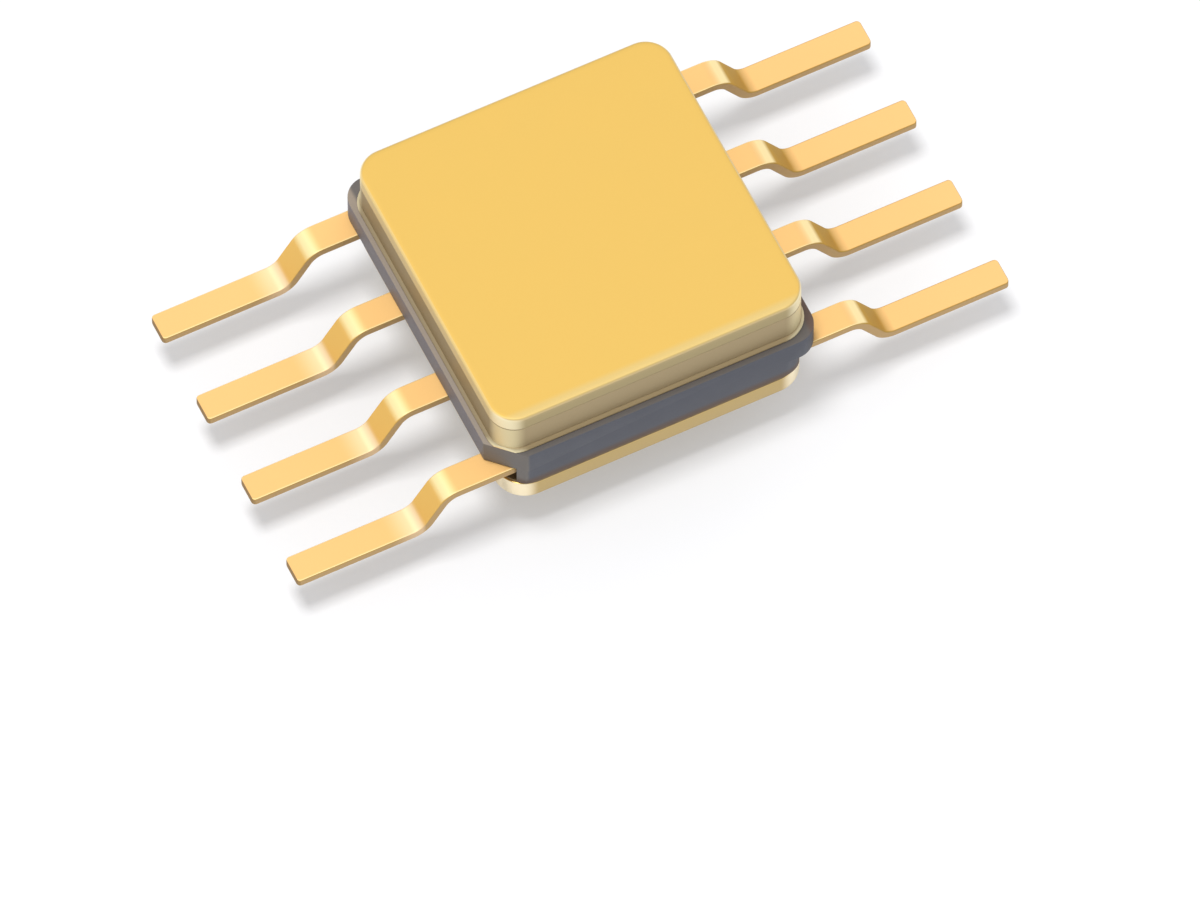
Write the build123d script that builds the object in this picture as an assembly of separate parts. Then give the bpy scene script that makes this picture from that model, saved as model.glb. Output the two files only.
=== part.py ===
from build123d import *
import os

os.makedirs("parts", exist_ok=True)

# Ceramic flat pack with eight gull-wing leads, in millimetres.
# +X runs along the leads, +Y along the lead pitch and +Z up.
# The origin is the centre of the package, on the plane that the lead feet stand on.

# Leads: flat gold-plated strip, four on each side
LEADS_PER_SIDE = 4
LEAD_PITCH = 1.27
LEAD_WIDTH = 0.38
LEAD_THICKNESS = 0.127
LEAD_TOP = 0.68
LEAD_BEND = 0.20
LEAD_TIP_CORNER = 0.05
SHOULDER_REACH = 0.60
SLOPE_RUN = 0.34
FOOT_REACH = 1.70

# Ceramic body: one fired piece, narrower below the leads on the two lead sides, with one corner
# cut flat beside lead 1 as its index
BODY_WIDTH = 4.40
BODY_LENGTH = 4.45
BODY_CORNER = 0.30
INDEX_LEG = 0.40
BODY_TOP = 1.07
LOWER_INSET = 0.18
NOTCH_DEPTH = 0.32
NOTCH_GAP = 0.03
WELL_SIZE = 2.30
WELL_CORNER = 0.15
CAVITY_SIZE = 3.20
CAVITY_CORNER = 0.20

# Base plate under the ceramic, held just clear of the board
BASE_STANDOFF = 0.06
BASE_THICKNESS = 0.30
BASE_INSET = 0.15
BASE_CORNER = 0.40
BASE_EDGE = 0.03
BASE_BRAZE = 0.04

# Seal ring and lid, with the thin films that hold them
RING_WIDTH = 4.20
RING_LENGTH = 4.22
RING_CORNER = 0.35
RING_HEIGHT = 0.46
RING_WALL = 0.45
LID_THICKNESS = 0.22
LID_EDGE = 0.04
SEAL_WALL = 0.36
FILM_THICKNESS = 0.02
BRAZE_TOE = 0.04

# Chip and its connections
DIE_SIZE = 1.50
DIE_THICKNESS = 0.28
ATTACH_MARGIN = 0.05
PAD_SIZE = 0.13
PAD_THICKNESS = 0.01
PAD_EDGE_GAP = 0.09
PAD_PITCH = 0.38
TRACE_THICKNESS = 0.02
TRACE_WIDTH = 0.30
TRACE_SETBACK = 0.07
TRACE_JOG = 0.16
FINGER_WIDTH = 0.22
FINGER_PITCH = 0.70
FINGER_LENGTH = 0.34
FINGER_SETBACK = 0.05
WIRE_DIAMETER = 0.04
WIRE_LOOP = 0.26
WIRE_CROWN = 0.07
BALL_DIAMETER = 0.09
BALL_HEIGHT = 0.03
WIRE_LANDING = 0.16
WIRE_HEEL = 0.08

# Heights that follow from the sizes above
base_top = BASE_STANDOFF + BASE_THICKNESS
body_floor = base_top + BASE_BRAZE
trace_top = LEAD_TOP + TRACE_THICKNESS
ring_floor = BODY_TOP + FILM_THICKNESS
ring_top = ring_floor + RING_HEIGHT
lid_floor = ring_top + FILM_THICKNESS
die_floor = base_top + FILM_THICKNESS
die_top = die_floor + DIE_THICKNESS

# Plan places that follow from the sizes above
body_side = BODY_WIDTH / 2
lower_side = body_side - LOWER_INSET
notch_wall = lower_side - NOTCH_DEPTH
lead_root = notch_wall + NOTCH_GAP
lead_rows = [LEAD_PITCH * (i - (LEADS_PER_SIDE - 1) / 2) for i in range(LEADS_PER_SIDE)]


def slab(width, length, corner, floor, height):
    """A plate centred on the package axis with rounded vertical corners."""
    return extrude(Pos(0, 0, floor) * RectangleRounded(width, length, corner), height)


def frame(width, length, corner, inner_width, inner_length, inner_corner, floor, height):
    """A plate with a rounded window through it."""
    window = slab(inner_width, inner_length, inner_corner, floor, height)
    return slab(width, length, corner, floor, height) - window


def on_side(shape, side):
    """Turns a shape made for the +X side half round for the other side."""
    return shape if side > 0 else Rot(0, 0, 180) * shape


def base_plate():
    """Gold-plated metal plate, its lower edge rounded a little."""
    width = BODY_WIDTH - 2 * BASE_INSET
    plate = slab(width, BODY_LENGTH, BASE_CORNER, BASE_STANDOFF, BASE_THICKNESS)
    lower_rim = plate.faces().sort_by(Axis.Z)[0].edges()
    return fillet(lower_rim, BASE_EDGE)


def base_braze():
    """Thin braze frame between the base plate and the ceramic."""
    outer = (2 * lower_side, BODY_LENGTH, BASE_CORNER)
    return frame(*outer, WELL_SIZE, WELL_SIZE, WELL_CORNER, base_top, BASE_BRAZE)


def beyond_index(setback):
    """All that lies beyond the index corner's flat, the flat moved inward by a setback."""
    leg = INDEX_LEG + setback * 2**0.5
    margin = 0.5
    x_corner = -body_side - margin
    y_corner = -BODY_LENGTH / 2 - margin
    points = [
        (x_corner, y_corner),
        (x_corner + leg + 2 * margin, y_corner),
        (x_corner, y_corner + leg + 2 * margin),
    ]
    outline = make_face(Polyline(*points, close=True))
    return extrude(outline, lid_floor)


def trace(row):
    """Flat metal strip from the lead's seat to the bond shelf, for the +X side."""
    y_lead = lead_rows[row]
    y_finger = FINGER_PITCH * (row - (LEADS_PER_SIDE - 1) / 2)
    x_outer = body_side - TRACE_SETBACK
    x_inner = WELL_SIZE / 2 + FINGER_SETBACK
    x_finger = x_inner + FINGER_LENGTH
    x_seat = x_finger + TRACE_JOG
    points = [
        (x_outer, y_lead - TRACE_WIDTH / 2),
        (x_outer, y_lead + TRACE_WIDTH / 2),
        (x_seat, y_lead + TRACE_WIDTH / 2),
        (x_finger, y_finger + FINGER_WIDTH / 2),
        (x_inner, y_finger + FINGER_WIDTH / 2),
        (x_inner, y_finger - FINGER_WIDTH / 2),
        (x_finger, y_finger - FINGER_WIDTH / 2),
        (x_seat, y_lead - TRACE_WIDTH / 2),
    ]
    outline = make_face(Polyline(*points, close=True))
    return extrude(Pos(0, 0, LEAD_TOP) * outline, TRACE_THICKNESS)


def ceramic_body(traces):
    """Fired ceramic: a chip well, a bond shelf round it, a wider cavity above and a notch for each lead."""
    lower = slab(2 * lower_side, BODY_LENGTH, BODY_CORNER, body_floor, trace_top - body_floor)
    upper = slab(BODY_WIDTH, BODY_LENGTH, BODY_CORNER, trace_top, BODY_TOP - trace_top)
    well = slab(WELL_SIZE, WELL_SIZE, WELL_CORNER, body_floor, trace_top - body_floor)
    cavity = slab(CAVITY_SIZE, CAVITY_SIZE, CAVITY_CORNER, trace_top, BODY_TOP - trace_top)
    notch_width = LEAD_WIDTH + 2 * NOTCH_GAP
    notch = Box(
        lower_side,
        notch_width,
        trace_top - body_floor,
        align=(Align.MIN, Align.CENTER, Align.MIN),
    )
    body = lower - well
    for side in (1, -1):
        for y in lead_rows:
            body -= on_side(Pos(notch_wall, y, body_floor) * notch, side)
    body += upper - cavity
    for strip in traces:
        body -= strip
    return body - beyond_index(0)


def lead(row):
    """Flat strip bent down and out, for the +X side: shoulder, slope and foot."""
    mid_high = LEAD_TOP - LEAD_THICKNESS / 2
    mid_low = LEAD_THICKNESS / 2
    x_upper = body_side + SHOULDER_REACH
    x_lower = x_upper + SLOPE_RUN
    x_tip = x_lower + FOOT_REACH
    path = FilletPolyline(
        (lead_root, 0, mid_high),
        (x_upper, 0, mid_high),
        (x_lower, 0, mid_low),
        (x_tip, 0, mid_low),
        radius=LEAD_BEND + LEAD_THICKNESS / 2,
    )
    root = Plane(origin=path @ 0, x_dir=(0, 1, 0), z_dir=path % 0)
    section = root * Rectangle(LEAD_WIDTH, LEAD_THICKNESS)
    strip = sweep(section, path=path)
    tip_edges = strip.edges().filter_by(Axis.Z).sort_by(Axis.X)[-2:]
    return Pos(0, lead_rows[row], 0) * fillet(tip_edges, LEAD_TIP_CORNER)


def seal_ring():
    """Gold-plated metal frame that carries the lid."""
    inner = (RING_WIDTH - 2 * RING_WALL, RING_LENGTH - 2 * RING_WALL, RING_CORNER / 2)
    return frame(RING_WIDTH, RING_LENGTH, RING_CORNER, *inner, ring_floor, RING_HEIGHT)


def ring_braze():
    """Thin braze frame under the seal ring, with a sloped toe round the ring's foot."""
    inner = (RING_WIDTH - 2 * RING_WALL, RING_LENGTH - 2 * RING_WALL, RING_CORNER / 2)
    width = RING_WIDTH + 2 * BRAZE_TOE
    length = RING_LENGTH + 2 * BRAZE_TOE
    height = FILM_THICKNESS + BRAZE_TOE
    toe = frame(width, length, RING_CORNER + BRAZE_TOE, *inner, BODY_TOP, height)
    outer_rim = toe.faces().sort_by(Axis.Z)[-1].outer_wire().edges()
    toe = chamfer(outer_rim, BRAZE_TOE)
    toe -= slab(RING_WIDTH, RING_LENGTH, RING_CORNER, ring_floor, height)
    return toe - beyond_index(0)


def lid_seal():
    """Thin solder frame between the seal ring and the lid."""
    inner = (RING_WIDTH - 2 * SEAL_WALL, RING_LENGTH - 2 * SEAL_WALL, RING_CORNER / 2)
    return frame(RING_WIDTH, RING_LENGTH, RING_CORNER, *inner, ring_top, FILM_THICKNESS)


def lid():
    """Gold-plated flat lid with its top rim rounded."""
    plate = slab(RING_WIDTH, RING_LENGTH, RING_CORNER, lid_floor, LID_THICKNESS)
    top_rim = plate.faces().sort_by(Axis.Z)[-1].edges()
    return fillet(top_rim, LID_EDGE)


def die_attach():
    """Thin bond layer between the base plate and the chip."""
    size = DIE_SIZE + 2 * ATTACH_MARGIN
    return Pos(0, 0, base_top + FILM_THICKNESS / 2) * Box(size, size, FILM_THICKNESS)


def die():
    """Silicon chip."""
    return Pos(0, 0, die_floor + DIE_THICKNESS / 2) * Box(DIE_SIZE, DIE_SIZE, DIE_THICKNESS)


def pad_place(row):
    """Centre of a bond pad on the chip's +X edge."""
    x = DIE_SIZE / 2 - PAD_EDGE_GAP - PAD_SIZE / 2
    y = PAD_PITCH * (row - (LEADS_PER_SIDE - 1) / 2)
    return x, y


def bond_pad(row):
    """Small square metal pad on the chip."""
    x, y = pad_place(row)
    return Pos(x, y, die_top + PAD_THICKNESS / 2) * Box(PAD_SIZE, PAD_SIZE, PAD_THICKNESS)


def bond_wire(row):
    """Fine wire: a ball on the chip's pad, a neck, a straight fall and a flat landing on the trace."""
    x_pad, y_pad = pad_place(row)
    pad_top = die_top + PAD_THICKNESS
    x_land = WELL_SIZE / 2 + FINGER_SETBACK + WIRE_LANDING
    y_land = FINGER_PITCH * (row - (LEADS_PER_SIDE - 1) / 2)
    start = Vector(x_pad, y_pad, pad_top + BALL_HEIGHT / 2)
    end = Vector(x_land, y_land, trace_top + WIRE_DIAMETER / 2)
    along = Vector(end.X - start.X, end.Y - start.Y, 0).normalized()
    neck = start + Vector(0, 0, WIRE_LOOP - WIRE_CROWN)
    crown = start + along * WIRE_CROWN + Vector(0, 0, WIRE_LOOP)
    heel = end - along * WIRE_HEEL
    path = Polyline(start, neck, crown, heel, end)
    section = Plane(origin=start, z_dir=(0, 0, 1)) * Circle(WIRE_DIAMETER / 2)
    thread = sweep(section, path=path, transition=Transition.RIGHT)
    ball = Pos(x_pad, y_pad, pad_top + BALL_HEIGHT / 2) * Cylinder(BALL_DIAMETER / 2, BALL_HEIGHT)
    return ball + thread


# Leads, traces and wires are numbered round the package: 1 to 4 on the left from the front,
# 5 to 8 on the right from the back
leads = {}
traces = {}
wires = {}
pads = []
for side in (-1, 1):
    for i in range(LEADS_PER_SIDE):
        number = i + 1 + (LEADS_PER_SIDE if side > 0 else 0)
        row = LEADS_PER_SIDE - 1 - i
        leads[number] = on_side(lead(row), side)
        traces[number] = on_side(trace(row), side) - beyond_index(TRACE_SETBACK)
        wires[number] = on_side(bond_wire(row), side)
        pads.append(on_side(bond_pad(row), side))

pieces = {
    "base_plate": base_plate(),
    "base_braze": base_braze(),
    "ceramic_body": ceramic_body(traces.values()),
    "ring_braze": ring_braze(),
    "seal_ring": seal_ring(),
    "lid_seal": lid_seal(),
    "lid": lid(),
    "die_attach": die_attach(),
    "die": die(),
    "bond_pads": Compound(children=pads),
}
for number in leads:
    pieces[f"lead_{number}"] = leads[number]
    pieces[f"trace_{number}"] = traces[number]
    pieces[f"wire_{number}"] = wires[number]

for name, shape in pieces.items():
    export_step(shape, f"parts/{name}.step")
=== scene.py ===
import math

import bmesh
import bpy
from mathutils import Matrix, Vector


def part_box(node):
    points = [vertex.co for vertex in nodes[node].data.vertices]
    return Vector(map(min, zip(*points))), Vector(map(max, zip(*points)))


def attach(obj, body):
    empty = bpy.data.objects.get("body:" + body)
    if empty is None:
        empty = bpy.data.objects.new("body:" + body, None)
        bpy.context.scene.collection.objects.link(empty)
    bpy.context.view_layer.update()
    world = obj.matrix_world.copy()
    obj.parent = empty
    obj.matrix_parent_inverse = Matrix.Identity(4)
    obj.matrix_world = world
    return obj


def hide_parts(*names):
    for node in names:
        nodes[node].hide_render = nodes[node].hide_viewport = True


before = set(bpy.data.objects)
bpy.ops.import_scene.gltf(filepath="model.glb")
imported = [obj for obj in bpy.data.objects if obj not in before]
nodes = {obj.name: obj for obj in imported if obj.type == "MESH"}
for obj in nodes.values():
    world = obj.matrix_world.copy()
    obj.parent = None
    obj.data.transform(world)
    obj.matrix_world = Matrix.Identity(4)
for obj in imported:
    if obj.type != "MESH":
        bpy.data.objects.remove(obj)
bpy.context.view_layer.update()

MM = 0.001


# Lid: a flat stamped metal plate, gold plated over nickel. Its top rim is rounded by the
# stamping and polished by the plating. It is soldered down on the seal ring all round.
class Tone:
    """A shader socket that adds, subtracts and multiplies in plain expressions."""

    def __init__(self, finish, socket):
        self.finish = finish
        self.socket = socket

    def math(self, operation, first, second):
        made = self.finish.node("ShaderNodeMath", {"operation": operation}, {0: first, 1: second})
        return made["Value"]

    def __add__(self, other):
        return self.math("ADD", self, other)

    def __radd__(self, other):
        return self.math("ADD", other, self)

    def __sub__(self, other):
        return self.math("SUBTRACT", self, other)

    def __rsub__(self, other):
        return self.math("SUBTRACT", other, self)

    def __mul__(self, other):
        return self.math("MULTIPLY", self, other)

    def __rmul__(self, other):
        return self.math("MULTIPLY", other, self)

    def size(self):
        return self.math("ABSOLUTE", self, 0.0)


class Outputs:
    """The outputs of one node by name."""

    def __init__(self, finish, made):
        self.finish = finish
        self.made = made

    def __getitem__(self, name):
        for socket in self.made.outputs:
            if socket.enabled and socket.name == name:
                return Tone(self.finish, socket)
        raise KeyError(name)


class Finish:
    """One material: its nodes, its shader and the piece's own coordinates."""

    def __init__(self, name):
        self.material = bpy.data.materials.new(name)
        self.material.use_nodes = True
        self.nodes = self.material.node_tree.nodes
        self.links = self.material.node_tree.links
        self.shader = next(n for n in self.nodes if n.type == "BSDF_PRINCIPLED")
        self.place = self.node("ShaderNodeTexCoord", {}, {})["Object"]

    def node(self, kind, settings, inputs):
        """Makes a node of a type, sets its settings first and then its sockets' values or links."""
        made = self.nodes.new(kind)
        stops = settings.pop("stops", None)
        for key, value in settings.items():
            setattr(made, key, value)
        if stops:
            ramp = made.color_ramp
            while len(ramp.elements) < len(stops):
                ramp.elements.new(0.5)
            for element, (position, colour) in zip(ramp.elements, stops):
                element.position = position
                element.color = (*colour, 1.0)
        for key, value in inputs.items():
            self.put(self.find(made, key), value)
        return Outputs(self, made)

    def find(self, made, key):
        """A node's input by its number, or by its name among those in use."""
        if isinstance(key, int):
            return made.inputs[key]
        return next(s for s in made.inputs if s.enabled and s.name == key)

    def put(self, socket, value):
        """Links a Tone to a socket, or sets a constant on the socket itself."""
        if isinstance(value, Tone):
            self.links.new(value.socket, socket)
        else:
            socket.default_value = value

    def feed(self, **sockets):
        """Sets the shader's sockets by name."""
        for key, value in sockets.items():
            self.put(self.shader.inputs[key.replace("_", " ")], value)

    def facing(self, axis):
        """How far the surface faces along an axis, from -1 to 1."""
        normal = self.node("ShaderNodeNewGeometry", {}, {})["Normal"]
        return self.node("ShaderNodeSeparateXYZ", {}, {"Vector": normal})[axis]

    def along(self, axis):
        """The place along one of the piece's axes, in metres."""
        return self.node("ShaderNodeSeparateXYZ", {}, {"Vector": self.place})[axis]

    def between(self, value, start, end):
        """Rises smoothly from 0 to 1 as a value goes from start to end."""
        settings = {"interpolation_type": "SMOOTHSTEP"}
        inputs = {"Value": value, "From Min": start, "From Max": end}
        return self.node("ShaderNodeMapRange", settings, inputs)["Result"]

    def ramp(self, value, tones):
        """A colour that changes with a value through a list of places and screen colours."""
        stops = [(position, linear(*colour)[:3]) for position, colour in tones]
        return self.node("ShaderNodeValToRGB", {"stops": stops}, {"Fac": value})["Color"]

    def noise(self, per_mm, detail=3.0):
        """Noise with about that many waves to a millimetre."""
        inputs = {"Vector": self.place, "Scale": per_mm / MM, "Detail": detail}
        return self.node("ShaderNodeTexNoise", {}, inputs)["Fac"]

    def mix(self, factor, first, second):
        inputs = {"Factor": factor, "A": first, "B": second}
        return self.node("ShaderNodeMix", {"data_type": "RGBA"}, inputs)["Result"]

    def multiplied(self, first, second):
        settings = {"data_type": "RGBA", "blend_type": "MULTIPLY"}
        inputs = {"Factor": 1.0, "A": first, "B": second}
        return self.node("ShaderNodeMix", settings, inputs)["Result"]

    def bump(self, height, distance_mm):
        inputs = {"Height": height, "Distance": distance_mm * MM}
        return self.node("ShaderNodeBump", {}, inputs)["Normal"]


def linear(red, green, blue):
    """A colour as seen on a screen, 0 to 255, as the shader's own linear value."""
    def one(value):
        part = value / 255
        return part / 12.92 if part <= 0.04045 else ((part + 0.055) / 1.055) ** 2.4
    return (one(red), one(green), one(blue), 1.0)


CLOUD_PER_MM = 1.6
GRAIN_PER_MM = 38.0
CLOUD_DARK = (0.975, 0.975, 0.965, 1.0)
CLOUD_LIGHT = (1.02, 1.02, 1.015, 1.0)
CLOUD_HEIGHT = 1.2
PLATE_RELIEF = 0.0006
CORNER_HIGHLIGHT_START = 3.86
CORNER_HIGHLIGHT_FULL = 4.02
LEFT_FACING_START = -0.1
LEFT_FACING_FULL = -0.7
UPRIGHT_START = 0.9
UPRIGHT_FULL = 0.6


def gold_finish(name, tones, roughness, metallic=1.0, relief=1.0, left_lit_tones=None, corner_highlight=None):
    """Matt gold plate with painted light. The first tones give its colour from upright walls (0) to level
    faces (1), as painted shade and highlight by how far it faces up; the left tones do the same where it
    faces left, painted lighter as if lit from the left; the corner colour is a painted highlight on its
    upright corners."""
    finish = Finish(name)
    upward = finish.facing("Z")
    colour = finish.ramp(upward, tones)
    # Painted light: parts facing left take their own lighter tones, as if lit from the left.
    if left_lit_tones:
        turned = finish.between(finish.facing("X"), LEFT_FACING_START, LEFT_FACING_FULL)
        colour = finish.mix(turned, colour, finish.ramp(upward, left_lit_tones))
    # Painted highlight: upright corners take a pale corner colour.
    if corner_highlight:
        away = finish.along("X").size() + finish.along("Y").size()
        at_corner = finish.between(away, CORNER_HIGHLIGHT_START * MM, CORNER_HIGHLIGHT_FULL * MM)
        at_corner = at_corner * finish.between(upward, UPRIGHT_START, UPRIGHT_FULL)
        colour = finish.mix(at_corner, colour, linear(*corner_highlight))
    cloud = finish.noise(CLOUD_PER_MM, detail=2.0)
    grain = finish.noise(GRAIN_PER_MM)
    shade = finish.mix(cloud, CLOUD_DARK, CLOUD_LIGHT)
    finish.colour = finish.multiplied(colour, shade)
    finish.feed(
        Base_Color=finish.colour,
        Metallic=metallic,
        Roughness=roughness - 0.05 + cloud * 0.06 + grain * 0.04,
        Normal=finish.bump(grain + cloud * CLOUD_HEIGHT, PLATE_RELIEF * relief),
    )
    return finish


CORNER_STEPS = 16
EDGE_STEPS = 6
LEVEL_RIM = 0.04


def rounded_outline(width, length, corner):
    """Points round a rectangle with round corners, anticlockwise seen from above."""
    points = []
    for quarter in range(4):
        sign_x = 1 if quarter in (0, 3) else -1
        sign_y = 1 if quarter in (0, 1) else -1
        centre_x = sign_x * (width / 2 - corner)
        centre_y = sign_y * (length / 2 - corner)
        for step in range(CORNER_STEPS + 1):
            angle = math.pi / 2 * (quarter + step / CORNER_STEPS)
            points.append((centre_x + corner * math.cos(angle), centre_y + corner * math.sin(angle)))
    return points


def round_over(floor, top, low_edge, high_edge):
    """Inset and height of each ring up a wall whose two edges are rounded."""
    angles = [math.pi / 2 * step / EDGE_STEPS for step in range(EDGE_STEPS + 1)]
    rings = []
    for angle in angles:
        rings.append((low_edge * (1 - math.sin(angle)), floor + low_edge * (1 - math.cos(angle))))
    for angle in angles:
        rings.append((high_edge * (1 - math.cos(angle)), top - high_edge * (1 - math.sin(angle))))
    return rings


def new_piece(name, mesh_tool, material):
    """Turns a finished mesh into an object at the origin with smooth shading."""
    mesh = bpy.data.meshes.new(name)
    mesh_tool.to_mesh(mesh)
    mesh_tool.free()
    mesh.materials.append(material)
    mesh.shade_smooth()
    piece = bpy.data.objects.new(name, mesh)
    bpy.context.scene.collection.objects.link(piece)
    return piece


def plate_rings(tool, width, length, corner, rings):
    """Rings of vertices up a wall, each ring inset from the plan outline."""
    made = []
    for inset, height in rings:
        outline = rounded_outline(width - 2 * inset, length - 2 * inset, corner - inset)
        made.append([tool.verts.new((x * MM, y * MM, height * MM)) for x, y in outline])
    for lower, upper in zip(made, made[1:]):
        for i in range(len(lower)):
            j = (i + 1) % len(lower)
            tool.faces.new((lower[i], lower[j], upper[j], upper[i]))
    return made


def rounded_plate(name, width, length, corner, rings, material):
    """A solid plate whose wall is given by its rings, with a level rim before each flat face."""
    tool = bmesh.new()
    first, last = rings[0], rings[-1]
    full = [(first[0] + LEVEL_RIM, first[1])] + rings + [(last[0] + LEVEL_RIM, last[1])]
    made = plate_rings(tool, width, length, corner, full)
    tool.faces.new(list(reversed(made[0])))
    tool.faces.new(made[-1])
    return new_piece(name, tool, material)


def plan_size(node):
    """Width, length, floor and top of a node's box, in millimetres."""
    low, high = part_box(node)
    return ((high[0] - low[0]) / MM, (high[1] - low[1]) / MM, low[2] / MM, high[2] / MM)


RING_CORNER = 0.35
LID_EDGE = 0.04
LID_LOW_EDGE = 0.004
FRONT_HIGHLIGHT_START = -1.94
FRONT_HIGHLIGHT_FULL = -2.04
LEVEL_START = 0.5
LEVEL_FULL = 0.9
# Painted light on the lid: tan walls as painted shade and reflection, lighter left walls as if lit from the
# left, and a painted highlight on its upright corners.
lid_gold = gold_finish(
    "lid_gold_plate",
    tones=[(0.02, (182, 165, 122)), (0.3, (206, 184, 136)), (0.8, (216, 194, 146)), (0.99, (209, 173, 88))],
    left_lit_tones=[
        (0.02, (214, 192, 140)),
        (0.5, (234, 208, 142)),
        (0.95, (230, 198, 126)),
        (0.99, (209, 173, 88)),
    ],
    roughness=0.62,
    metallic=0.6,
    corner_highlight=(248, 236, 198),
)
# Painted highlight: a pale band along the front margin of the lid's top.
front_margin_highlight = lid_gold.between(lid_gold.along("Y"), FRONT_HIGHLIGHT_START * MM, FRONT_HIGHLIGHT_FULL * MM)
front_margin_highlight = front_margin_highlight * lid_gold.between(lid_gold.facing("Z"), LEVEL_START, LEVEL_FULL)
lid_gold.feed(Base_Color=lid_gold.mix(front_margin_highlight, lid_gold.colour, linear(204, 178, 112)))
lid_width, lid_length, lid_floor, lid_top = plan_size("lid")
lid_wall = round_over(lid_floor, lid_top, LID_LOW_EDGE, LID_EDGE)
lid = rounded_plate("lid_plate", lid_width, lid_length, RING_CORNER, lid_wall, lid_gold.material)
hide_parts("lid")
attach(lid, "root")

# Seal ring: a machined metal frame brazed on the ceramic and gold plated with it. It is the
# tall wall under the lid, and its edges are only just broken.
RING_WALL = 0.45
RING_LOW_EDGE = 0.01
RING_HIGH_EDGE = 0.004
# Painted light on the seal ring: tan walls as painted shade and reflection, darker left walls as painted
# reflection of the shadowed floor, and a painted highlight on its upright corners.
ring_gold = gold_finish(
    "ring_gold_plate",
    tones=[(0.1, (174, 154, 116)), (0.9, (236, 204, 130))],
    left_lit_tones=[(0.1, (150, 130, 92)), (0.9, (236, 204, 130))],
    roughness=0.55,
    metallic=0.45,
    corner_highlight=(226, 210, 164),
)
ring_width, ring_length, ring_floor, ring_top = plan_size("seal_ring")
ring_wall = round_over(ring_floor, ring_top, RING_LOW_EDGE, RING_HIGH_EDGE)
tool = bmesh.new()
outer = plate_rings(tool, ring_width, ring_length, RING_CORNER, ring_wall)
inner_size = (ring_width - 2 * RING_WALL, ring_length - 2 * RING_WALL, RING_CORNER / 2)
inner = plate_rings(tool, *inner_size, [(0.0, ring_top), (0.0, ring_floor)])
for i in range(len(outer[0])):
    j = (i + 1) % len(outer[0])
    tool.faces.new((outer[-1][i], outer[-1][j], inner[0][j], inner[0][i]))
    tool.faces.new((inner[1][i], inner[1][j], outer[0][j], outer[0][i]))
ring = new_piece("seal_ring_frame", tool, ring_gold.material)
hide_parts("seal_ring")
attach(ring, "root")

# Base plate: a flat metal plate brazed under the ceramic, gold plated, with large round
# corners. It carries the chip inside and sheds its heat to the board.
BASE_CORNER = 0.40
BASE_LOW_EDGE = 0.03
BASE_HIGH_EDGE = 0.015
# Painted light on the base plate: darker walls as painted shade and a painted highlight on its upright
# corners.
base_gold = gold_finish(
    "base_gold_plate",
    tones=[(0.1, (194, 169, 114)), (0.9, (246, 208, 128))],
    roughness=0.36,
    corner_highlight=(255, 240, 205),
)
base_width, base_length, base_floor, base_top = plan_size("base_plate")
base_wall = round_over(base_floor, base_top, BASE_LOW_EDGE, BASE_HIGH_EDGE)
base = rounded_plate("base_plate_gold", base_width, base_length, BASE_CORNER, base_wall, base_gold.material)
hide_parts("base_plate")
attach(base, "root")


# Ceramic body: black alumina, pressed in layers and fired as one piece, so its edges are a
# little soft and its faces have a fine dry grain.
CAD_WELD = 0.00002
SAME_FACE = math.radians(0.5)
HARD_EDGE = math.radians(35)
SOFT_EDGE_STEPS = 3


def softened_copy(name, node, edge, material):
    """The CAD solid as one merged mesh with its hard edges rounded."""
    tool = bmesh.new()
    tool.from_mesh(nodes[node].data)
    bmesh.ops.remove_doubles(tool, verts=tool.verts, dist=CAD_WELD * MM)
    bmesh.ops.dissolve_limit(tool, angle_limit=SAME_FACE, verts=tool.verts, edges=tool.edges)
    piece = new_piece(name, tool, material)
    rounding = piece.modifiers.new("BEVEL", "BEVEL")
    rounding.width = edge * MM
    rounding.segments = SOFT_EDGE_STEPS
    rounding.limit_method = "ANGLE"
    rounding.angle_limit = HARD_EDGE
    rounding.harden_normals = True
    graph = bpy.context.evaluated_depsgraph_get()
    finished = bpy.data.meshes.new_from_object(piece.evaluated_get(graph))
    piece.modifiers.remove(rounding)
    piece.data = finished
    return piece


SIDE_FACING_START = 0.3
SIDE_FACING_FULL = 0.9
INDEX_FLAT_START = -3.98
INDEX_FLAT_FULL = -4.02
LEFT_LEDGE_START = -2.06
RIGHT_LEDGE_START = 2.04
LEDGE_FULL = 2.12
BRAZE_STAIN_SHADE_START = 0.44
BRAZE_STAIN_SHADE_END = 0.56
BRAZE_STAIN_SHADE_RAGGED = 0.03
CERAMIC_EDGE = 0.012
ceramic = Finish("black_alumina")
fine = ceramic.noise(55.0, detail=5.0)
patch = ceramic.noise(2.2)
wall_colour = ceramic.mix(patch, linear(71, 74, 83), linear(82, 84, 93))
# Painted light: ceramic walls facing left are lighter, as if lit from the left.
lit_left_wall = ceramic.between(ceramic.facing("X"), -SIDE_FACING_START, -SIDE_FACING_FULL)
wall_colour = ceramic.mix(lit_left_wall, wall_colour, linear(112, 106, 108))
# Painted shade: ceramic walls facing right are darker.
shaded_right_wall = ceramic.between(ceramic.facing("X"), SIDE_FACING_START, SIDE_FACING_FULL)
wall_colour = ceramic.mix(shaded_right_wall, wall_colour, linear(64, 58, 54))
x, y, z = (ceramic.along(axis) for axis in "XYZ")
# Painted highlight: the chamfered index corner is lighter and warmer.
index_flat_highlight = ceramic.between(x + y, INDEX_FLAT_START * MM, INDEX_FLAT_FULL * MM)
wall_colour = ceramic.mix(index_flat_highlight, wall_colour, linear(110, 104, 98))
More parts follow.
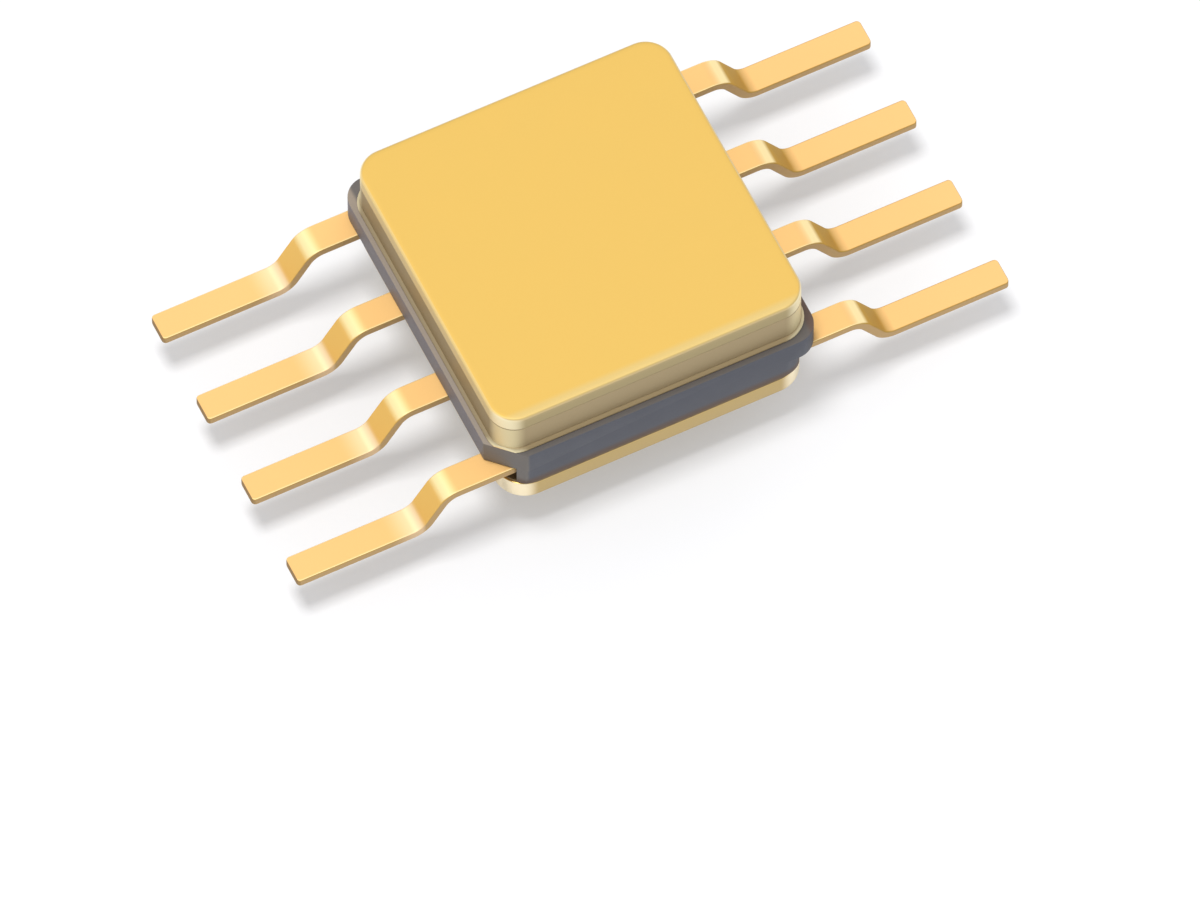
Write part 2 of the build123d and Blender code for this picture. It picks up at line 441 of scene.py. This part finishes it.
# Painted light on the ledge: level faces take their own warmer colour, lighter on the left side as if lit,
# and dark brown on the right as a painted shadow of the ring.
lit_left_ledge = ceramic.between(x, LEFT_LEDGE_START * MM, -LEDGE_FULL * MM)
shaded_right_ledge = ceramic.between(x, RIGHT_LEDGE_START * MM, LEDGE_FULL * MM)
ledge_colour = ceramic.mix(lit_left_ledge, linear(86, 80, 75), linear(134, 121, 106))
ledge_colour = ceramic.mix(shaded_right_ledge, ledge_colour, linear(88, 68, 56))
level = ceramic.between(ceramic.facing("Z"), LEVEL_START, LEVEL_FULL)
ceramic_colour = ceramic.mix(level, wall_colour, ledge_colour)
# Darker brown towards the bottom of the ceramic, next to the base braze: braze stain and painted shadow in
# the joint.
ragged_height = z + fine * (BRAZE_STAIN_SHADE_RAGGED * MM)
above_braze_stain_shade = ceramic.between(ragged_height, BRAZE_STAIN_SHADE_START * MM, BRAZE_STAIN_SHADE_END * MM)
ceramic_colour = ceramic.mix(above_braze_stain_shade, linear(88, 66, 50), ceramic_colour)
speck = ceramic.mix(fine, (0.86, 0.86, 0.87, 1.0), (1.1, 1.1, 1.1, 1.0))
ceramic.feed(
    Base_Color=ceramic.multiplied(ceramic_colour, speck),
    Roughness=0.5 + fine * 0.15,
    Normal=ceramic.bump(fine, 0.0025),
)
body = softened_copy("ceramic_body_fired", "ceramic_body", CERAMIC_EDGE, ceramic.material)
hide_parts("ceramic_body")
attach(body, "root")


# Braze and solder films: copper-silver braze under the ring and under the ceramic, and
# gold-tin solder under the lid. Only their dark edges show, as thin lines.
def dress(node, material):
    """Gives a CAD mesh that stays as it is its material."""
    nodes[node].data.materials.clear()
    nodes[node].data.materials.append(material)


TOE_EDGE = 0.006
braze = Finish("braze_edge")
flow = braze.noise(14.0, detail=4.0)
braze.feed(
    Base_Color=braze.mix(flow, linear(92, 74, 56), linear(140, 118, 82)),
    Metallic=0.6,
    Roughness=0.45 + flow * 0.2,
    Normal=braze.bump(flow, 0.004),
)
dress("base_braze", braze.material)
# Painted light on the braze toe: a painted highlight on its upright corners, and left-facing parts a little
# darker as painted shade.
toe_gold = gold_finish(
    "braze_toe_plate",
    tones=[(0.1, (168, 149, 111)), (0.8, (172, 150, 110))],
    left_lit_tones=[(0.1, (158, 140, 110)), (0.8, (166, 148, 114))],
    roughness=0.45,
    metallic=0.7,
    corner_highlight=(236, 222, 180),
)
toe = softened_copy("ring_braze_toe", "ring_braze", TOE_EDGE, toe_gold.material)
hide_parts("ring_braze")
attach(toe, "root")
solder = Finish("gold_tin_solder")
flow = solder.noise(14.0, detail=4.0)
solder.feed(
    Base_Color=solder.mix(flow, linear(160, 142, 106), linear(176, 156, 118)),
    Metallic=0.45,
    Roughness=0.45 + flow * 0.2,
    Normal=solder.bump(flow, 0.003),
)
dress("lid_seal", solder.material)

# Leads: flat iron-nickel strip, etched to width, formed down and out in a press, brazed under
# the ceramic and gold plated. Every lead is one path with a thin rounded section swept along it.
LEAD_WIDTH = 0.38
LEAD_THICKNESS = 0.127
LEAD_TOP = 0.68
LEAD_BEND = 0.20
LEAD_ROOT = 1.73
SHOULDER_END = 2.80
FOOT_START = 3.14
FOOT_END = 4.84
LEAD_EDGE = 0.02
TIP_CORNER = 0.05
LEAD_PITCH = 1.27
BEND_STEPS = 14
LEAD_EDGE_STEPS = 4
FOOT_HIGHLIGHT_END = -3.59
FOOT_HIGHLIGHT_FULL = -3.19
FOOT_HIGHLIGHT_START = -3.10
FOOT_HIGHLIGHT_RISEN = -3.16
FOOT_HIGHLIGHT_SHARE = 0.7
RIGHT_SLOPE_START = 2.93
RIGHT_SLOPE_FULL = 3.00
CUT_FACE_START = 4.834
CUT_FACE_FULL = 4.838
side_tone = (0.05, (196, 166, 120))
top_tone = (1.0, (226, 183, 118))
# Painted light on the leads: darker slopes as painted shade and reflection, pale bands at the bends as
# painted highlights, and lighter slopes where they face left, as if lit from the left.
lead_gold = gold_finish(
    "lead_gold_plate",
    tones=[
        side_tone,
        (0.42, (186, 148, 66)),
        (0.6, (190, 152, 70)),
        (0.78, (245, 226, 172)),
        (0.92, (243, 218, 162)),
        top_tone,
    ],
    left_lit_tones=[
        (0.05, (170, 140, 96)),
        (0.45, (229, 187, 102)),
        (0.62, (232, 190, 106)),
        (0.8, (245, 226, 168)),
    ],
    roughness=0.6,
    metallic=0.55,
    relief=0.5,
)
x = lead_gold.along("X")
cut_end = lead_gold.between(x.size(), CUT_FACE_START * MM, CUT_FACE_FULL * MM)
# Painted highlight: a pale band on the left feet just past the lower bend.
foot_highlight = lead_gold.between(x, FOOT_HIGHLIGHT_END * MM, FOOT_HIGHLIGHT_FULL * MM)
foot_highlight = foot_highlight * lead_gold.between(x, FOOT_HIGHLIGHT_START * MM, FOOT_HIGHLIGHT_RISEN * MM)
lead_colour = lead_gold.mix(foot_highlight * FOOT_HIGHLIGHT_SHARE, lead_gold.colour, linear(242, 214, 176))
# On the right leads from the middle of the slope outward, the colour follows a ramp without the pale bands;
# its darker slope stops are painted shade and reflection.
past_right_bend = lead_gold.between(x, RIGHT_SLOPE_START * MM, RIGHT_SLOPE_FULL * MM)
right_lead_shade_tones = [side_tone, (0.42, (174, 140, 68)), (0.7, (190, 152, 76)), top_tone]
right_lead_shade_colour = lead_gold.ramp(lead_gold.facing("Z"), right_lead_shade_tones)
lead_colour = lead_gold.mix(past_right_bend, lead_colour, right_lead_shade_colour)
lead_gold.feed(
    Base_Color=lead_gold.mix(cut_end, lead_colour, linear(150, 122, 84)),
    Specular_Tint=(0.85, 0.66, 0.42, 1.0),
)

lead_tree = bpy.data.node_groups.new("formed_lead", "GeometryNodeTree")
lead_inputs = {
    "Pitch place": 0.0,
    "Turn": 0.0,
    "Root": LEAD_ROOT * MM,
    "Shoulder end": SHOULDER_END * MM,
    "Foot start": FOOT_START * MM,
    "Foot end": FOOT_END * MM,
    "Top": LEAD_TOP * MM,
    "Width": LEAD_WIDTH * MM,
    "Thickness": LEAD_THICKNESS * MM,
    "Bend": LEAD_BEND * MM,
    "Edge": LEAD_EDGE * MM,
}


def tree_socket(label, kind, in_out="INPUT"):
    """Adds an input or output to the lead's tree."""
    return lead_tree.interface.new_socket(name=label, in_out=in_out, socket_type=kind)


lead_sockets = {}
for label, value in lead_inputs.items():
    socket = tree_socket(label, "NodeSocketFloat")
    socket.default_value = value
    lead_sockets[label] = socket.identifier
lead_sockets["Plating"] = tree_socket("Plating", "NodeSocketMaterial").identifier
tree_socket("Geometry", "NodeSocketGeometry", "OUTPUT")


def step(kind, settings, inputs):
    """Adds a node to the lead's tree with its settings, then its values or links."""
    made = lead_tree.nodes.new(kind)
    for key, value in settings.items():
        setattr(made, key, value)
    for key, value in inputs.items():
        socket = made.inputs[key]
        if isinstance(value, bpy.types.NodeSocket):
            lead_tree.links.new(value, socket)
        else:
            socket.default_value = value
    return made.outputs[0] if made.outputs else made


def sum_of(first, second, operation="ADD"):
    return step("ShaderNodeMath", {"operation": operation}, {0: first, 1: second})


given = step("NodeGroupInput", {}, {}).node.outputs
half_thick = sum_of(given["Thickness"], 0.5, "MULTIPLY")
mid_top = sum_of(given["Top"], half_thick, "SUBTRACT")
stations = [
    (given["Root"], mid_top),
    (given["Shoulder end"], mid_top),
    (given["Foot start"], half_thick),
    (given["Foot end"], half_thick),
]
straight = step("GeometryNodeMeshLine", {}, {"Count": len(stations)})
which = step("GeometryNodeInputIndex", {}, {})
choose = step("GeometryNodeIndexSwitch", {"data_type": "VECTOR"}, {"Index": which}).node
while len(choose.index_switch_items) < len(stations):
    choose.index_switch_items.new()
for i, (reach, height) in enumerate(stations):
    point = step("ShaderNodeCombineXYZ", {}, {"X": reach, "Z": height})
    lead_tree.links.new(point, choose.inputs[i + 1])
placed = step("GeometryNodeSetPosition", {}, {"Geometry": straight, "Position": choose.outputs[0]})
path = step("GeometryNodeMeshToCurve", {}, {"Mesh": placed})
bend_radius = sum_of(given["Bend"], half_thick)
bend = {"Curve": path, "Count": BEND_STEPS, "Radius": bend_radius}
bent = step("GeometryNodeFilletCurve", {"mode": "POLY"}, bend)
upright = step("GeometryNodeSetCurveNormal", {"mode": "Z_UP"}, {"Curve": bent})
flat = {"Width": given["Width"], "Height": given["Thickness"]}
section = step("GeometryNodeCurvePrimitiveQuadrilateral", {"mode": "RECTANGLE"}, flat)
rounding = {"Curve": section, "Count": LEAD_EDGE_STEPS, "Radius": given["Edge"]}
soft_section = step("GeometryNodeFilletCurve", {"mode": "POLY"}, rounding)
sweep = {"Curve": upright, "Profile Curve": soft_section, "Fill Caps": True}
swept = step("GeometryNodeCurveToMesh", {}, sweep)
shift = step("ShaderNodeCombineXYZ", {}, {"Y": given["Pitch place"]})
spin = step("ShaderNodeCombineXYZ", {}, {"Z": given["Turn"]})
move = {"Geometry": swept, "Translation": shift, "Rotation": spin}
moved = step("GeometryNodeTransform", {}, move)
smooth = step("GeometryNodeSetShadeSmooth", {}, {"Geometry": moved})
real = step("GeometryNodeRealizeInstances", {}, {"Geometry": smooth})
plated = step("GeometryNodeSetMaterial", {}, {"Geometry": real, "Material": given["Plating"]})
step("NodeGroupOutput", {}, {0: plated})

TIP_CUTS = (1.0, 0.7, 0.45, 0.25, 0.1, 0.03)
FLAT_ANGLE = math.radians(8)
WELD = 0.0001


def formed_lead(name, pitch_place, turn):
    """Evaluates the tree for one lead, keeps its plain mesh and rounds its tip in plan."""
    piece = bpy.data.objects.new(name, bpy.data.meshes.new(name))
    bpy.context.scene.collection.objects.link(piece)
    former = piece.modifiers.new("former", "NODES")
    former.node_group = lead_tree
    former[lead_sockets["Pitch place"]] = pitch_place
    former[lead_sockets["Turn"]] = turn
    former[lead_sockets["Plating"]] = lead_gold.material
    graph = bpy.context.evaluated_depsgraph_get()
    mesh = bpy.data.meshes.new_from_object(piece.evaluated_get(graph))
    piece.modifiers.remove(former)
    piece.data = mesh
    tool = bmesh.new()
    tool.from_mesh(mesh)
    bmesh.ops.remove_doubles(tool, verts=tool.verts, dist=WELD * MM)
    outward = -1 if turn else 1
    for part in TIP_CUTS:
        cut = (outward * (FOOT_END - part * TIP_CORNER) * MM, 0, 0)
        everything = list(tool.verts) + list(tool.edges) + list(tool.faces)
        bmesh.ops.bisect_plane(tool, geom=everything, plane_co=cut, plane_no=(1, 0, 0), dist=1e-9)
    for vert in tool.verts:
        over = max(0.0, abs(vert.co.x) / MM - (FOOT_END - TIP_CORNER))
        inset = TIP_CORNER - math.sqrt(max(0.0, TIP_CORNER**2 - over**2))
        narrowed = 1 - 2 * inset / LEAD_WIDTH
        vert.co.y = pitch_place + (vert.co.y - pitch_place) * narrowed
    bmesh.ops.recalc_face_normals(tool, faces=tool.faces)
    tool.to_mesh(mesh)
    tool.free()
    mesh.set_sharp_from_angle(angle=FLAT_ANGLE)
    return piece


for number in range(1, 9):
    left = number <= 4
    row = number - 1 if left else 8 - number
    pitch_place = (row - 1.5) * LEAD_PITCH * MM
    lead = formed_lead(f"lead_{number}_gold", pitch_place, math.pi if left else 0.0)
    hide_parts(f"lead_{number}")
    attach(lead, "root")

# Fired traces: tungsten under gold, printed on the ceramic before firing. Only their ends
# show, in the notches over the leads.
trace = Finish("trace_metal")
print_grain = trace.noise(30.0)
trace.feed(
    Base_Color=trace.mix(print_grain, linear(196, 160, 92), linear(226, 190, 118)),
    Metallic=1.0,
    Roughness=0.4 + print_grain * 0.15,
    Normal=trace.bump(print_grain, 0.002),
)
for number in range(1, 9):
    dress(f"trace_{number}", trace.material)

# Chip and its wires: polished silicon with metal pads, held by a bond layer, and fine
# aluminium wires to the traces. All of it is sealed in under the lid.
silicon = Finish("silicon")
ripple = silicon.noise(6.0, detail=2.0)
silicon.feed(
    Base_Color=silicon.mix(ripple, linear(70, 74, 92), linear(84, 84, 104)),
    Metallic=0.3,
    Roughness=0.15 + ripple * 0.05,
)
wire = Finish("wire_metal")
drawn = wire.noise(40.0, detail=2.0)
wire.feed(
    Base_Color=wire.mix(drawn, linear(206, 206, 208), linear(228, 228, 230)),
    Metallic=1.0,
    Roughness=0.25 + drawn * 0.1,
)
dress("die", silicon.material)
dress("die_attach", solder.material)
dress("bond_pads", wire.material)
for number in range(1, 9):
    dress(f"wire_{number}", wire.material)

# Studio: white paper a little below the feet, as if the part stood on a thin clear plate, so its
# shadows fall a little aside. One soft light high over the part, a weak one from the back right,
# and a pale room.
CLEAR_PLATE = 0.62
PAPER_REACH = 0.6
KEY_PLACE = (-0.045, 0.012, 0.355)
KEY_SIZE = 0.10
KEY_POWER = 0.95
FILL_PLACE = (0.36, 0.23, 0.26)
FILL_SIZE = 0.25
FILL_POWER = 0.2
ROOM_STRENGTH = 0.72
floor_mesh = bpy.data.meshes.new("floor")
signs = [(-1, -1), (1, -1), (1, 1), (-1, 1)]
paper_corners = [(x_sign * PAPER_REACH, y_sign * PAPER_REACH, 0) for x_sign, y_sign in signs]
floor_mesh.from_pydata(paper_corners, [], [(0, 1, 2, 3)])
floor = bpy.data.objects.new("floor", floor_mesh)
floor.location.z = -CLEAR_PLATE * MM
bpy.context.scene.collection.objects.link(floor)
paper = Finish("pale_floor")
paper.feed(
    Base_Color=(0.52, 0.52, 0.525, 1.0),
    Roughness=0.9,
    Emission_Color=(1.0, 1.0, 1.0, 1.0),
    Emission_Strength=0.3,
)
floor_mesh.materials.append(paper.material)


def soft_light(name, place, size, power):
    """A square soft box at a place, turned towards the part."""
    lamp = bpy.data.lights.new(name, "AREA")
    lamp.size = size
    lamp.energy = power
    holder = bpy.data.objects.new(name, lamp)
    holder.location = place
    holder.rotation_mode = "QUATERNION"
    holder.rotation_quaternion = (-Vector(place)).to_track_quat("-Z", "Y")
    bpy.context.scene.collection.objects.link(holder)


soft_light("key_softbox", KEY_PLACE, KEY_SIZE, KEY_POWER)
soft_light("fill_softbox", FILL_PLACE, FILL_SIZE, FILL_POWER)

room = bpy.data.worlds.new("room")
room.use_nodes = True
bpy.context.scene.world = room
background = room.node_tree.nodes["Background"].inputs
background["Color"].default_value = (0.93, 0.95, 1.0, 1.0)
background["Strength"].default_value = ROOM_STRENGTH
bpy.context.scene.view_settings.view_transform = "Standard"

# Camera: a long lens from the front left, high up, as in the photograph. Its place follows from
# the pixel that the part's middle falls on and from the number of pixels to a millimetre.
AZIMUTH = math.radians(26.0)
ELEVATION = math.radians(59.85)
PICTURE_WIDTH = 1200
PICTURE_HEIGHT = 900
PIXELS_PER_MM = 81.72
DISTANCE_MM = 293.0
SENSOR_MM = 36.0
AIM_HEIGHT_MM = 0.8
AIM_X_PX = 580.3
AIM_Y_PX = 270.9
right = Vector((math.cos(AZIMUTH), -math.sin(AZIMUTH), 0))
forward = math.cos(ELEVATION)
ahead = Vector((math.sin(AZIMUTH) * forward, math.cos(AZIMUTH) * forward, -math.sin(ELEVATION)))
up = right.cross(ahead)
across_mm = (AIM_X_PX - PICTURE_WIDTH / 2) / PIXELS_PER_MM
down_mm = (AIM_Y_PX - PICTURE_HEIGHT / 2) / PIXELS_PER_MM
aim = Vector((0, 0, AIM_HEIGHT_MM))
place = aim - right * across_mm + up * down_mm - ahead * DISTANCE_MM
lens = bpy.data.cameras.new("camera")
lens.sensor_width = SENSOR_MM
lens.lens = PIXELS_PER_MM * DISTANCE_MM * SENSOR_MM / PICTURE_WIDTH
lens.clip_start = 0.01
lens.clip_end = 10.0
camera = bpy.data.objects.new("camera", lens)
camera.matrix_world = Matrix.Translation(place * MM) @ Matrix((right, up, -ahead)).transposed().to_4x4()
bpy.context.scene.collection.objects.link(camera)
bpy.context.scene.camera = camera
